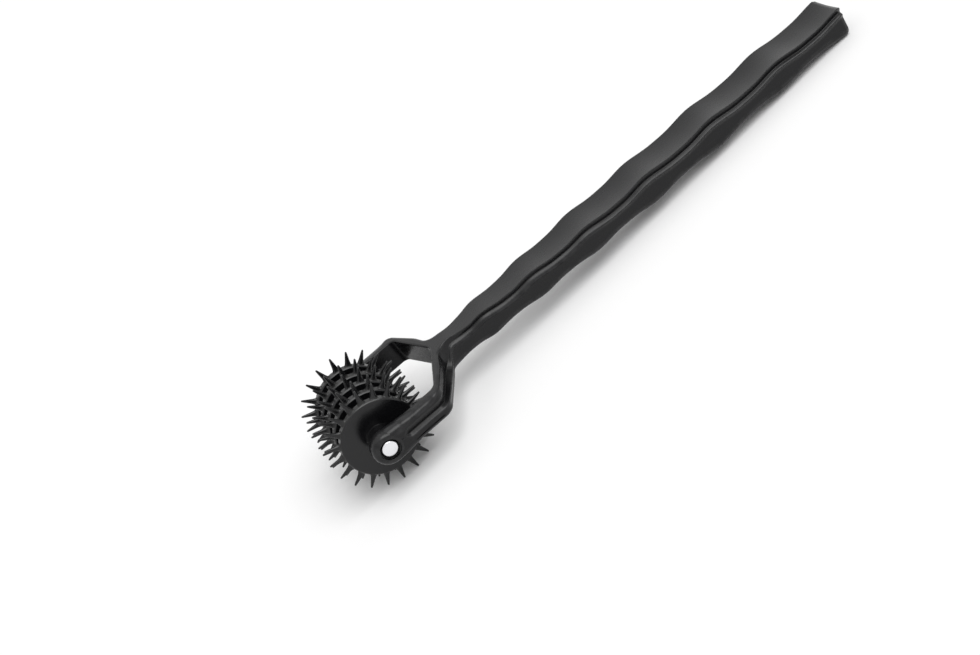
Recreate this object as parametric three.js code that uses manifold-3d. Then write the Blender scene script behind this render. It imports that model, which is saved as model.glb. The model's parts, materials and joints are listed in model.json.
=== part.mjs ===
// Neurological pinwheel: a roller of five spiked wheels on a steel pin, in the fork of a wavy handle.
// Millimetres, +Z up. The handle runs along +X, the axle lies along Y, and the origin is the middle
// of the whole object's box. Inside the builders below, x is measured from the axle.

import * as THREE from 'three';
import { mergeVertices } from 'three/addons/utils/BufferGeometryUtils.js';
import Module from 'manifold-3d';

const wasm = await Module();
wasm.setup();

// Driving dimensions

const clearance = 0.3;            // gap between pieces that touch or turn in each other
const overrun = 5;                // how far a cutting tool passes the piece it cuts
const weldTolerance = 0.0002;     // corners closer than this are one corner
const axleToButt = 177;           // from the axle to the flat end of the handle

// Roller
const wheelCount = 5;
const wheelPitch = 5.8;           // from one wheel's middle to the next
const spikesPerWheel = 20;
const tipRadius = 16;             // spike tips, from the axle
const rimRadius = 11.5;
const rimWidth = 2.4;
const rimChamfer = 0.3;
const hubRadius = 8.4;            // spacer hub that keeps the rims apart
const neckRadius = 4;             // outer neck that keeps the roller clear of the fork
const endWallThickness = 1.4;     // closed wall of an end wheel, outside the core
const coreRadius = 6.2;           // hexagonal core, over its corners
const coreSides = 6;
const spikeFootRadius = 1.65;     // flared foot of a spike, along the rim
const spikeWaistRadius = 0.85;
const spikeTipEndRadius = 0.3;
const spikeFootSink = 0.5;        // how deep the foot starts under the rim
const oddWheelTurn = THREE.MathUtils.degToRad(0.6);
const evenWheelTurn = THREE.MathUtils.degToRad(3.6);
const spikeFlatness_share = 0.68; // a spike's thickness along the axle, as a share of its width
const flareTop_share = 0.04;      // heights up a spike, as shares of its length over the rim
const waist_share = 0.22;
const flareWidth_share = 0.55;    // how far the foot has narrowed at the flare's top
const spikePitchAngle = 2 * Math.PI / spikesPerWheel;

// Axle pin and the eyes it is pressed into
const pinRadius = 2.4;
const pinDomeHeight = 0.7;
const pinEndRecess = 0.1;         // the domed end lies this far inside the eye's outer face
const eyeRadius = 5.1;            // rounded end of each fork arm
const eyeStand = 0.12;            // the eye stands this proud of the arm's faces
const eyeOuterEdge = 1.1;         // rounded outer edge of the eye
const eyeInnerEdge = 0.4;         // chamfer round the eye's inner face
const eyeMouth = 0.35;            // countersink at the outer end of the pin's hole

// Fork, in plan
const forkOuterHalfWidth = 21;
const armThickness = 3.65;
const armHalfHeight = 4.1;
const outerBendStart = 16.95;     // x where the arm's outer face starts to turn in
const outerBendRadius = 4;
const outerSlant = THREE.MathUtils.degToRad(64);
const innerBendStart = 17.7;
const innerBendRadius = 2.5;
const innerSlant = THREE.MathUtils.degToRad(69);
const crotchX = 25.8;             // x of the deepest point of the fork's gap
const crotchRadius = 4;
const throatRadius = 6;           // concave fillet from the arm's outer face to the neck
const innerEdge = 0.4;            // chamfer on the inner edges of the arms
const armEdge = 1.7;              // rounded upper edge along the outside of the arms

// Handle
const neckX = 32;                 // the handle's narrowest place
const neckHalfWidth = 3.5;
const gripHalfWidth = 6.35;
const gripFullX = 84;             // the handle reaches its full width here
const firstTroughHalfHeight = 3.65;
const lastTroughHalfHeight = 3.9;
const firstCrestHalfHeight = 4.3;
const lastCrestHalfHeight = 4.9;
const gripEdge = 0.2;             // rounded upper edge of the grip
const underEdge = 1.3;            // rounded lower edge along the fork and the handle
const buttBevelLength = 1.2;
const buttBevelDepth = 0.8;

// Finger waves: crests as shares of the way from the neck to the butt
const crest_shares = [-0.015, 0.076, 0.197, 0.334, 0.486, 0.655, 0.828, 1];
const levelFullCrest_share = 0.655;   // crests and troughs reach their last heights here
const crestSharpness = 1.5;           // above 1, crests are narrower than troughs

// Groove in the side: along the middle of the arm, up the throat, then close under the wide face
const grooveStartX = 4.6;
const grooveRun = 0.8;            // length over which the groove sinks in
const grooveTopOnArm = 1.9;       // upper edge, over the middle plane
const grooveLowAtEye = 1.3;       // lower edge, under the middle plane
const grooveLowAtThroat = 2;
const grooveDepthOnArm = 0.9;
const grooveDepthOnGrip = 0.6;
const grooveFloor_share = 0.65;   // where the groove is deepest, from its upper to its lower edge
const climbStartX = 22.5;         // the upper edge climbs to the wide face between these two
const climbEndX = 26.5;
const lipStartX = 26.5;           // the lower edge, a lip, climbs between these two
const lipEndX = 31;
const gripRim = 0.2;              // what is left between the groove and the edge of the wide face
const lipDropAtNeck = 3;          // from the wide face down to the lip
const lipDropOnGrip = 2.1;
const lipLevelX = 95;             // the lip has come up to its last height here

// Cove: the side under the lip is hollow along the butt's half of the grip, which is a little deeper
const coveStartX = 80;
const coveFullX = 110;
const coveDepth = 0.5;
const coveTop_share = 0.3;        // where the cove is full, from the lip to the lower face
const coveSag = 0.3;              // how much further down the lower face lies there

// Facets
const bendSteps = 4;
const throatSteps = 6;
const crotchSteps = 3;
const throatExtraSteps = throatSteps - crotchSteps;
const waveSteps = 8;
const wheelSegments = 40;
const eyeSegments = 32;
const pinSegments = 24;
const spikeSides = 6;
const domeSteps = 4;

// Small helpers for closed solids

// Merges shared corners and drops triangles that have collapsed to a line.
function closed(geometry) {
  const bare = geometry.clone();
  bare.deleteAttribute('normal');
  bare.deleteAttribute('uv');
  const merged = mergeVertices(bare, weldTolerance);
  const kept = [];
  const index = merged.index.array;
  for (let i = 0; i < index.length; i += 3) {
    const [a, b, c] = [index[i], index[i + 1], index[i + 2]];
    if (a !== b && b !== c && c !== a) kept.push(a, b, c);
  }
  merged.setIndex(kept);
  return merged;
}

function toManifold(geometry) {
  const mesh = closed(geometry);
  const vertProperties = new Float32Array(mesh.attributes.position.array);
  const triVerts = new Uint32Array(mesh.index.array);
  return new wasm.Manifold(new wasm.Mesh({ numProp: 3, vertProperties, triVerts }));
}

function fromManifold(solid) {
  const mesh = solid.getMesh();
  const geometry = new THREE.BufferGeometry();
  geometry.setAttribute('position', new THREE.BufferAttribute(mesh.vertProperties, 3));
  geometry.setIndex(new THREE.BufferAttribute(mesh.triVerts, 1));
  geometry.computeVertexNormals();
  return geometry;
}

// A solid of revolution about the axle (Y) from [radius, y] pairs that start and end on the axis.
function turned(pairs, segments) {
  return new THREE.LatheGeometry(pairs.map(([r, y]) => new THREE.Vector2(r, y)), segments);
}

const lerp = THREE.MathUtils.lerp;
const smooth = (x, from, to) => THREE.MathUtils.smoothstep(x, from, to);

// Handle with its fork: sizes that follow from the driving ones

const forkInnerHalfWidth = forkOuterHalfWidth - armThickness;
const gripLength = axleToButt - neckX;
const crestX = crest_shares.map((share) => neckX + share * gripLength);

// Half height of the wide faces at x: level on the fork, then waves that grow towards the butt.
function halfHeight(x) {
  const wave = crestX.findIndex((crest, i) => i > 0 && x <= crest);
  const right = wave < 0 ? crestX.length - 1 : wave;
  const phase = (x - crestX[right - 1]) / (crestX[right] - crestX[right - 1]);
  const grown = Math.min(Math.max((x - neckX) / (levelFullCrest_share * gripLength), 0), 1);
  const trough = lerp(firstTroughHalfHeight, lastTroughHalfHeight, grown);
  const crest = lerp(firstCrestHalfHeight, lastCrestHalfHeight, grown);
  const rise = ((1 + Math.cos(2 * Math.PI * phase)) / 2) ** crestSharpness;
  return lerp(armHalfHeight, lerp(trough, crest, rise), smooth(x, crotchX, neckX));
}

// Half width of the handle behind the neck.
function halfWidth(x) {
  const along = Math.min((x - neckX) / (gripFullX - neckX), 1);
  return lerp(neckHalfWidth, gripHalfWidth, along * (3 - along) / 2);
}

// Points on a round bend in plan; angles are from +X.
function bend(centreX, centreY, radius, from, to, steps) {
  return new THREE.EllipseCurve(centreX, centreY, radius, radius, from, to, to < from).getPoints(steps);
}

const quarter = Math.PI / 2;
const point = (x, y) => new THREE.Vector2(x, y);

// Places along the handle where a ring of corners stands
const grooveStations = [grooveStartX, grooveStartX + grooveRun];
const handleStations = (() => {
  const stations = [];
  const neckSteps = waveSteps / 2;
  for (let i = 1; i <= neckSteps; i += 1) stations.push(lerp(neckX, crestX[1], i / neckSteps));
  for (let wave = 1; wave < crestX.length - 1; wave += 1) {
    for (let i = 1; i <= waveSteps; i += 1) stations.push(lerp(crestX[wave], crestX[wave + 1], i / waveSteps));
  }
  stations[stations.length - 1] = axleToButt - buttBevelLength;
  return stations;
})();

// Outer outline of one side, from the eye along the arm, the throat and the handle to the butt.
function outerOutline() {
  const bendCentreY = forkOuterHalfWidth - outerBendRadius;
  const turnIn = bend(outerBendStart, bendCentreY, outerBendRadius, quarter, quarter - outerSlant, bendSteps);
  const throat = bend(neckX, neckHalfWidth + throatRadius, throatRadius, 3 * quarter - outerSlant, 3 * quarter,
    throatSteps);
  const arm = [point(0, forkOuterHalfWidth)];
  for (const x of grooveStations) arm.push(point(x, forkOuterHalfWidth));
  const slantMiddle = turnIn[bendSteps].clone().lerp(throat[0], 0.5);
  const grip = handleStations.map((x) => point(x, halfWidth(x)));
  return [...arm, ...turnIn, slantMiddle, ...throat, ...grip];
}

// Inner line of one side: the fork's gap as far as the crotch, then the middle of the handle.
function innerOutline() {
  const bendCentreY = forkInnerHalfWidth - innerBendRadius;
  const turnIn = bend(innerBendStart, bendCentreY, innerBendRadius, quarter, quarter - innerSlant, bendSteps);
  const crotch = bend(crotchX - crotchRadius, 0, crotchRadius, quarter - innerSlant, 0, crotchSteps);
  const arm = [point(0, forkInnerHalfWidth)];
  for (const x of grooveStations) arm.push(point(x, forkInnerHalfWidth));
  const slantMiddle = turnIn[bendSteps].clone().lerp(crotch[0], 0.5);
  const middle = [];
  for (let i = 1; i <= throatExtraSteps; i += 1) {
    middle.push(point(lerp(crotchX, neckX, i / (throatExtraSteps + 1)), 0));
  }
  const grip = handleStations.map((x) => point(x, 0));
  return [...arm, ...turnIn, slantMiddle, ...crotch, ...middle, ...grip];
}

// Unit normals of a polyline in plan: on its left for side 1, on its right for side -1.
function normals(line, side) {
  return line.map((_, i) => {
    const before = line[Math.max(i - 1, 0)];
    const after = line[Math.min(i + 1, line.length - 1)];
    const along = after.clone().sub(before).normalize();
    return point(-along.y * side, along.x * side);
  });
}

const coveShare = (x) => smooth(x, coveStartX, coveFullX);
const lowerHeight = (x) => halfHeight(x) + coveSag * coveShare(x);

// The side of the fork and handle at one station, from the upper wide face down to the lower one:
// [how deep under the outline, height].
function sideProfile(x) {
  const [top, bottom] = [halfHeight(x), -lowerHeight(x)];
  const climbed = smooth(x, climbStartX, climbEndX);
  const edge = lerp(armEdge, gripEdge, climbed);
  const corner_share = 1 - Math.SQRT1_2;
  const upper = lerp(grooveTopOnArm, top - gripEdge - gripRim, climbed);
  const lowOnArm = -lerp(grooveLowAtEye, grooveLowAtThroat, smooth(x, outerBendStart, crotchX));
  const lipDrop = lerp(lipDropAtNeck, lipDropOnGrip, smooth(x, lipEndX, lipLevelX));
  const lifted = smooth(x, lipStartX, lipEndX);
  const lip = lerp(lowOnArm, top - lipDrop, lifted);
  const sunk = smooth(x, grooveStartX, grooveStartX + grooveRun);
  const depth = sunk * lerp(grooveDepthOnArm, grooveDepthOnGrip, lifted);
  const cove = coveDepth * coveShare(x);
  return [
    [edge, top],
    [edge * corner_share, top - edge * corner_share],
    [0, top - edge],
    [0, upper],
    [depth, lerp(upper, lip, grooveFloor_share)],
    [0, lip],
    [cove, lerp(lip, bottom, coveTop_share)],
    [cove, bottom + underEdge],
    [cove + underEdge * corner_share, bottom + underEdge * corner_share],
    [cove + underEdge, bottom],
  ];
}

// One half of the fork and handle as a grid of rings; side is +1 or -1 for +Y or -Y.
function forkHalf(side, positions, indices) {
  const outer = outerOutline();
  const inner = innerOutline();
  const outerNormals = normals(outer, 1);
  const innerNormals = normals(inner, -1);
  const crotchIndex = inner.findIndex((p) => Math.abs(p.y) < weldTolerance);
  innerNormals[crotchIndex] = point(-1, 0);
  const first = positions.length / 3;

  const add = (x, y, z) => positions.push(x, side * y, z);
  const ring = (i) => {
    const [o, n, c, m] = [outer[i], outerNormals[i], inner[i], innerNormals[i]];
    const lip = i <= crotchIndex ? innerEdge : 0;
    const lipPoint = point(c.x - m.x * lip, Math.max(c.y - m.y * lip, 0));
    const sidePoints = sideProfile(o.x).map(([depth, z]) => [o.x - n.x * depth, o.y - n.y * depth, z]);
    return [
      [c.x, c.y, halfHeight(c.x) - lip],
      [lipPoint.x, lipPoint.y, halfHeight(lipPoint.x)],
      ...sidePoints,
      [lipPoint.x, lipPoint.y, -lowerHeight(lipPoint.x)],
      [c.x, c.y, lip - lowerHeight(c.x)],
    ];
  };
  const rings = outer.map((_, i) => ring(i));
  rings.push(buttRing(rings[rings.length - 1]));
  const count = rings[0].length;
  rings.flat().forEach(([x, y, z]) => add(x, y, z));

  const triangle = (a, b, c) => (side > 0 ? indices.push(a, b, c) : indices.push(a, c, b));
  for (let i = 0; i < rings.length - 1; i += 1) {
    for (let j = 0; j < count; j += 1) {
      const next = (j + 1) % count;
      const wallInside = j === 0 || j === count - 2 || j === count - 1;
      if (i >= crotchIndex && wallInside) continue;
      const [a, b] = [first + i * count + j, first + i * count + next];
      const [c, d] = [a + count, b + count];
      triangle(a, c, b);
      triangle(b, c, d);
    }
  }

  // Flat ends: at the eye, round the whole ring; at the butt, from the middle of the handle outwards.
  const armEnd = positions.length / 3;
  add(0, (forkOuterHalfWidth + forkInnerHalfWidth) / 2, 0);
  for (let j = 0; j < count; j += 1) triangle(armEnd, first + j, first + ((j + 1) % count));
  const butt = positions.length / 3;
  add(axleToButt, 0, 0);
  const last = first + (rings.length - 1) * count;
  for (let j = 1; j < count - 2; j += 1) triangle(butt, last + j + 1, last + j);
}

// The last ring of the handle: the ring before it, drawn in by the bevel and moved to the butt.
function buttRing(ringBefore) {
  const width = halfWidth(axleToButt);
  const height = halfHeight(axleToButt);
  const widthShare = (width - buttBevelDepth) / width;
  const heightShare = (height - buttBevelDepth) / height;
  return ringBefore.map(([, y, z]) => [axleToButt, y * widthShare, z * heightShare]);
}

function forkAndHandle() {
  const positions = [];
  const indices = [];
  forkHalf(1, positions, indices);
  forkHalf(-1, positions, indices);
  const geometry = new THREE.BufferGeometry();
  geometry.setAttribute('position', new THREE.Float32BufferAttribute(positions, 3));
  geometry.setIndex(indices);
  return geometry;
}

// Round eye at the end of an arm, as a solid disc about the axle; the hole is cut afterwards.
function eye(side) {
  const inside = (forkInnerHalfWidth - eyeStand) * side;
  const outside = (forkOuterHalfWidth + eyeStand) * side;
  const corner = eyeOuterEdge * (1 - Math.SQRT1_2);
  const pairs = [
    [0, inside],
    [eyeRadius - eyeInnerEdge, inside],
    [eyeRadius, inside + eyeInnerEdge * side],
    [eyeRadius, outside - eyeOuterEdge * side],
    [eyeRadius - corner, outside - corner * side],
    [eyeRadius - eyeOuterEdge, outside],
    [0, outside],
  ];
  return turned(side > 0 ? pairs : pairs.reverse(), eyeSegments);
}

// Tool for the pin's hole through one eye, with a countersunk mouth outside.
function eyeHole(side) {
  const holeRadius = pinRadius + clearance;
  const inside = (forkInnerHalfWidth - overrun) * side;
  const face = (forkOuterHalfWidth + eyeStand) * side;
  const past = overrun * side;
  const pairs = [
    [0, inside],
    [holeRadius, inside],
    [holeRadius, face - eyeMouth * side],
    [holeRadius + eyeMouth, face],
    [holeRadius + eyeMouth, face + past],
    [0, face + past],
  ];
  return turned(side > 0 ? pairs : pairs.reverse(), eyeSegments);
}

function handleFork() {
  let solid = toManifold(forkAndHandle());
  for (const side of [1, -1]) {
    solid = solid.add(toManifold(eye(side)));
    solid = solid.subtract(toManifold(eyeHole(side)));
  }
  return fromManifold(solid);
}

// Axle pin: a steel rod with domed ends, pressed into both eyes.
function axlePin() {
  const halfLength = forkOuterHalfWidth + eyeStand - pinEndRecess;
  const dome = [];
  for (let i = 0; i <= domeSteps; i += 1) {
    const turn = quarter * (i / domeSteps);
    dome.push([pinRadius * Math.sin(turn), halfLength - pinDomeHeight * (1 - Math.cos(turn))]);
  }
  const farEnd = [...dome].reverse();
  const nearEnd = dome.map(([r, y]) => [r, -y]);
  return turned([...nearEnd, ...farEnd], pinSegments);
}

// Roller: sizes that follow from the driving ones

const middleOfEndWheel = wheelPitch * (wheelCount - 1) / 2;
const endFace = middleOfEndWheel + rimWidth / 2;
const pocketEnd = endFace - endWallThickness;
const coreHalfLength = pocketEnd - clearance;
const neckEnd = forkInnerHalfWidth - eyeStand - clearance;
const boreRadius = pinRadius + clearance;
const wheelMiddle = (number) => (number - 1) * wheelPitch - middleOfEndWheel;
const wheelTurn = (number) => (number % 2 ? oddWheelTurn : evenWheelTurn);

// Round bore for the pin, long enough to pass through the piece it is cut from.
function pinBore() {
  const length = 2 * (neckEnd + overrun);
  return toManifold(new THREE.CylinderGeometry(boreRadius, boreRadius, length, pinSegments));
}

// Hexagonal prism about the axle between two places along it.
function hexPrism(radius, from, to) {
  const prism = new THREE.CylinderGeometry(radius, radius, to - from, coreSides);
  return toManifold(prism.translate(0, (from + to) / 2, 0));
}

// The core keys all five wheels together and turns on the pin.
function rollerCore() {
  return fromManifold(hexPrism(coreRadius, -coreHalfLength, coreHalfLength).subtract(pinBore()));
}

// One spike on its rim, standing along the radius at an angle from +Z towards +X.
function spike(angle) {
  const height = tipRadius - rimRadius;
  const profile = [
    [0, rimRadius - spikeFootSink],
    [spikeFootRadius, rimRadius - spikeFootSink],
    [lerp(spikeFootRadius, spikeWaistRadius, flareWidth_share), rimRadius + flareTop_share * height],
    [spikeWaistRadius, rimRadius + waist_share * height],
    [spikeTipEndRadius, tipRadius],
    [0, tipRadius],
  ];
  const upright = turned(profile, spikeSides).scale(1, 1, spikeFlatness_share).rotateX(quarter);
  return toManifold(upright.rotateY(angle));
}

// Half profile of a wheel from its middle plane outwards: the rim's edge, then the spacer hub,
// or on the outer side of an end wheel a smooth face with the neck.
function wheelSide(isOuterSide) {
  const rim = rimWidth / 2;
  const bossRadius = isOuterSide ? neckRadius : hubRadius;
  const bossEnd = isOuterSide ? neckEnd - middleOfEndWheel : (wheelPitch - clearance) / 2;
  return [
    [rimRadius, rim - rimChamfer],
    [rimRadius - rimChamfer, rim],
    [bossRadius, rim],
    [bossRadius, bossEnd],
    [0, bossEnd],
  ];
}

// A spiked wheel about the axle, centred on its own rim. The hexagonal bore takes the core; the
// two end wheels close it with a wall that lets only the pin through.
function wheel(number) {
  const isFirst = number === 1;
  const isLast = number === wheelCount;
  const nearSide = wheelSide(isFirst).map(([r, y]) => [r, -y]).reverse();
  let solid = toManifold(turned([...nearSide, ...wheelSide(isLast)], wheelSegments));
  for (let i = 0; i < spikesPerWheel; i += 1) {
    solid = solid.add(spike((i + 0.5) * spikePitchAngle + wheelTurn(number)));
  }
  const pocketFrom = isFirst ? -pocketEnd - wheelMiddle(number) : -wheelPitch;
  const pocketTo = isLast ? pocketEnd - wheelMiddle(number) : wheelPitch;
  solid = solid.subtract(hexPrism(coreRadius + clearance, pocketFrom, pocketTo));
  if (isFirst || isLast) solid = solid.subtract(pinBore());
  return fromManifold(solid);
}

// Assembly

const blackPlastic = new THREE.MeshStandardMaterial({ color: 0x343438, roughness: 0.42, metalness: 0 });
const wheelPlastic = new THREE.MeshStandardMaterial({ color: 0x303034, roughness: 0.36, metalness: 0 });
const pinSteel = new THREE.MeshStandardMaterial({ color: 0xd8d8da, roughness: 0.2, metalness: 1 });

function piece(name, geometry, material) {
  const mesh = new THREE.Mesh(geometry, material);
  mesh.name = name;
  return mesh;
}

const roller = new THREE.Group();
roller.add(piece('roller_core', rollerCore(), wheelPlastic));
for (let number = 1; number <= wheelCount; number += 1) {
  const spiked = piece(`spiked_wheel_${number}`, wheel(number), wheelPlastic);
  spiked.position.y = wheelMiddle(number);
  roller.add(spiked);
}

// How far the spikes reach past the axle on the side away from the handle.
function spikeReach() {
  let reach = 0;
  for (let number = 1; number <= wheelCount; number += 1) {
    for (let i = 0; i < spikesPerWheel; i += 1) {
      const angle = (i + 0.5) * spikePitchAngle + wheelTurn(number);
      const tip = -tipRadius * Math.sin(angle) + spikeTipEndRadius * Math.abs(Math.cos(angle));
      reach = Math.max(reach, tip);
    }
  }
  return reach;
}

const pinwheel = new THREE.Group();
pinwheel.add(piece('handle_fork', handleFork(), blackPlastic));
pinwheel.add(piece('axle_pin', axlePin(), pinSteel));
pinwheel.add(roller);
pinwheel.position.x = (spikeReach() - axleToButt) / 2;

export default pinwheel;
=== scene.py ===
"""A neurological pinwheel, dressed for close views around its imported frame.

The handle, the pin and the five spiked wheels are fine surfaces worked out from a few sizes in
metres. x runs along the handle, y along the axle and z square to the handle's wide face. Inside
the shape functions x is measured from the axle, and each finished mesh is then moved to the
axle's place.
"""

import json
import math

import bpy
import numpy as np
from mathutils import Matrix, Vector


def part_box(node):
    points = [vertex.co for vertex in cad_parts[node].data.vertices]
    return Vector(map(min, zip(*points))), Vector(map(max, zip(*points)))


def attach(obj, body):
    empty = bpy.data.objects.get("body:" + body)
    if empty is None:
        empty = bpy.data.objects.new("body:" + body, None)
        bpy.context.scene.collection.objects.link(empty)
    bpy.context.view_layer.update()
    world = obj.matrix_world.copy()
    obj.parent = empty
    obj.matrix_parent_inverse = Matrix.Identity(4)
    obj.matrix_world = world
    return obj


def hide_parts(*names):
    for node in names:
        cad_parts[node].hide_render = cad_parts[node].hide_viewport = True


bl_info = {
    "name": "Pinwheel Dresser",
    "version": (1, 0, 0),
    "blender": (4, 5, 0),
    "location": "3D Viewport > Sidebar > Pinwheel",
    "description": "Dresses the frame of a neurological pinwheel with fine surfaces and finishes",
    "category": "Add Mesh",
}

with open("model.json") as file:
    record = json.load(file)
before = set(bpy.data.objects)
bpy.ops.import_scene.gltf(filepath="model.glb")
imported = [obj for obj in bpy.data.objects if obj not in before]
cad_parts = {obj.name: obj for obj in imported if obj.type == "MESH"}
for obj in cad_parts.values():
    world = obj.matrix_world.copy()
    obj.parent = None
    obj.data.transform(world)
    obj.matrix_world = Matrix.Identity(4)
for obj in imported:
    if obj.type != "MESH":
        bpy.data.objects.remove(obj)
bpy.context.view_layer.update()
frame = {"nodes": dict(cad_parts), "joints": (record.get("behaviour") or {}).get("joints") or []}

MM = 0.001
QUARTER = math.pi / 2
AXLE = np.array(frame["joints"][0]["pos_m"])
BUTT_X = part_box("handle_fork")[1].x - AXLE[0]
WHEELS = sorted(name for name in frame["nodes"] if name.startswith("spiked_wheel"))

# Points closer than this, in metres, become one
WELD = 1e-7
# Edges between faces that turn by more than this stay sharp
SHARP_ANGLE = math.radians(42)


def length(name, text, millimetres):
    """A size in metres for the sidebar, given here in millimetres."""
    return bpy.props.FloatProperty(
        name=name, description=text, default=millimetres * MM, unit="LENGTH", precision=5
    )


def turn(name, text, degrees):
    """An angle for the sidebar, given here in degrees."""
    value = math.radians(degrees)
    return bpy.props.FloatProperty(name=name, description=text, default=value, subtype="ANGLE")


def share(name, text, value):
    """A part of a whole, from 0 to 1."""
    return bpy.props.FloatProperty(name=name, description=text, default=value, subtype="FACTOR")


def factor(name, text, value):
    """A number without a unit."""
    return bpy.props.FloatProperty(name=name, description=text, default=value)


def colour(name, text, value):
    """A colour in linear light."""
    return bpy.props.FloatVectorProperty(
        name=name, description=text, default=value, size=3, subtype="COLOR", min=0, max=1
    )


class HandleSizes(bpy.types.PropertyGroup):
    """Sizes of the fork, the wavy handle and the pin that it holds."""

    outer_half_width: length("Fork half width", "From the middle to an arm's outer face", 21.0)
    arm_thickness: length("Arm thickness", "Thickness of a fork arm", 3.65)
    arm_half_height: length("Arm half height", "Half the height of a fork arm", 4.1)
    outer_bend_start: length("Outer bend", "Where the arm's outer face turns in", 16.95)
    outer_bend_radius: length("Outer bend radius", "Radius of the arm's outer bend", 4.0)
    outer_slant: turn("Outer slant", "How far the outer face turns in", 64.0)
    inner_bend_start: length("Inner bend", "Where the arm's inner face turns in", 17.7)
    inner_bend_radius: length("Inner bend radius", "Radius of the arm's inner bend", 2.5)
    inner_slant: turn("Inner slant", "How far the inner face turns in", 69.0)
    crotch_x: length("Crotch", "Deepest point of the fork's gap", 25.8)
    crotch_radius: length("Crotch radius", "Radius of the gap's end", 4.0)
    throat_radius: length("Throat radius", "Fillet from an arm to the neck", 6.0)
    neck_x: length("Neck", "Where the handle is narrowest", 32.0)
    neck_half_width: length("Neck half width", "Half the width at the neck", 3.5)
    grip_half_width: length("Grip half width", "Half the width of the grip", 6.35)
    grip_full_x: length("Full grip", "Where the grip reaches its full width", 84.0)
    first_trough: length("First trough", "Half height of the first trough", 3.65)
    last_trough: length("Last trough", "Half height of the last troughs", 3.9)
    first_crest: length("First crest", "Half height of the first crest", 4.3)
    last_crest: length("Last crest", "Half height of the last crests", 4.9)
    crest_sharpness: factor("Crest sharpness", "Above 1, crests are narrower than troughs", 1.5)
    inner_edge: length("Inner edge", "Rounding along the fork's gap", 0.5)
    arm_edge: length("Arm edge", "Rounding along the outside of a straight arm", 2.5)
    slant_edge: length("Slant edge", "The same where the arm slants in", 0.9)
    rib_inset: length("Rib inset", "How far the throat's upper rib stands back", 0.8)
    lip_outset: length("Lip outset", "How far the throat's lower body stands out", 0.4)
    grip_edge: length("Grip edge", "Rounding of the grip's upper edge", 0.2)
    arm_under_edge: length("Arm under edge", "Rounding of an arm's lower edge", 1.3)
    grip_under_edge: length("Grip under edge", "Rounding of the grip's lower edge", 1.6)
    groove_start_x: length("Groove start", "Where the groove starts beside the eye", 4.6)
    groove_run: length("Groove run", "Length over which the groove sinks in", 2.6)
    groove_top: length("Groove top", "Height of the groove's upper edge on an arm", 1.9)
    groove_low: length("Groove low", "How far its lower edge lies below the middle", 1.3)
    groove_low_throat: length("Groove low at throat", "The same at the throat", 2.0)
    arm_groove_depth: length("Arm groove depth", "Depth of the groove on a straight arm", 1.0)
    throat_groove_depth: length("Throat groove depth", "Depth of the groove at the throat", 1.6)
    grip_groove_depth: length("Grip groove depth", "Depth of the groove on the grip", 0.85)
    climb_start_x: length("Climb start", "Where the groove's upper edge starts to climb", 22.5)
    climb_end_x: length("Climb end", "Where it has reached the wide face", 26.5)
    lip_start_x: length("Lip start", "Where the groove's lower edge starts to climb", 26.5)
    lip_end_x: length("Lip end", "Where the groove's lower edge has climbed up", 31.0)
    lip_drop_neck: length("Lip drop at neck", "From the wide face down to the lip at the neck", 2.5)
    lip_drop_middle: length("Lip drop in the middle", "The same in the grip's middle", 2.9)
    lip_drop_grip: length("Lip drop on grip", "The same on the grip", 2.55)
    lip_edge_neck: length("Lip edge at neck", "Rounding of the lip near the neck", 1.5)
    lip_edge_grip: length("Lip edge on grip", "The same on the grip", 0.36)
    lip_level_x: length("Level lip", "Where the lip has its last shape", 90.0)
    cove_start_x: length("Cove start", "Where the side under the lip starts to be hollow", 70.0)
    cove_full_x: length("Full cove", "Where the hollow has its full depth", 95.0)
    cove_depth: length("Cove depth", "Depth of the hollow under the lip", 0.5)
    cove_drop: length("Cove drop", "From the lip down to the hollow's deepest line", 1.15)
    lower_sag: length("Lower sag", "How much further down the lower face lies on the grip", 0.35)
    middle_sag: length("Middle sag", "How much more it sags along the grip's middle", 0.3)
    dish: length("Dish", "How far the grip's wide face is hollowed in the middle", 0.35)
    butt_under_edge: length("Butt under edge", "Rounding of the lower edge near the butt", 2.2)
    butt_bevel_length: length("Butt bevel length", "Length of the bevel round the butt", 0.9)
    butt_bevel_depth: length("Butt bevel depth", "How far the bevel draws the butt in", 0.45)
    eye_radius: length("Eye radius", "Rounded end of a fork arm", 5.1)
    eye_edge: length("Eye edge", "Rounding of the eye's outer edge", 2.4)
    hole_radius: length("Hole radius", "Hole for the pin", 2.7)
    hole_mouth: length("Hole mouth", "Countersink at the hole's outer end", 0.35)
    eye_stand: length("Eye stand", "How far the eye stands proud of the arm", 0.05)
    pin_radius: length("Pin radius", "Radius of the axle pin", 2.4)
    pin_dome: length("Pin dome", "Height of the pin's domed ends", 0.7)


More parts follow.
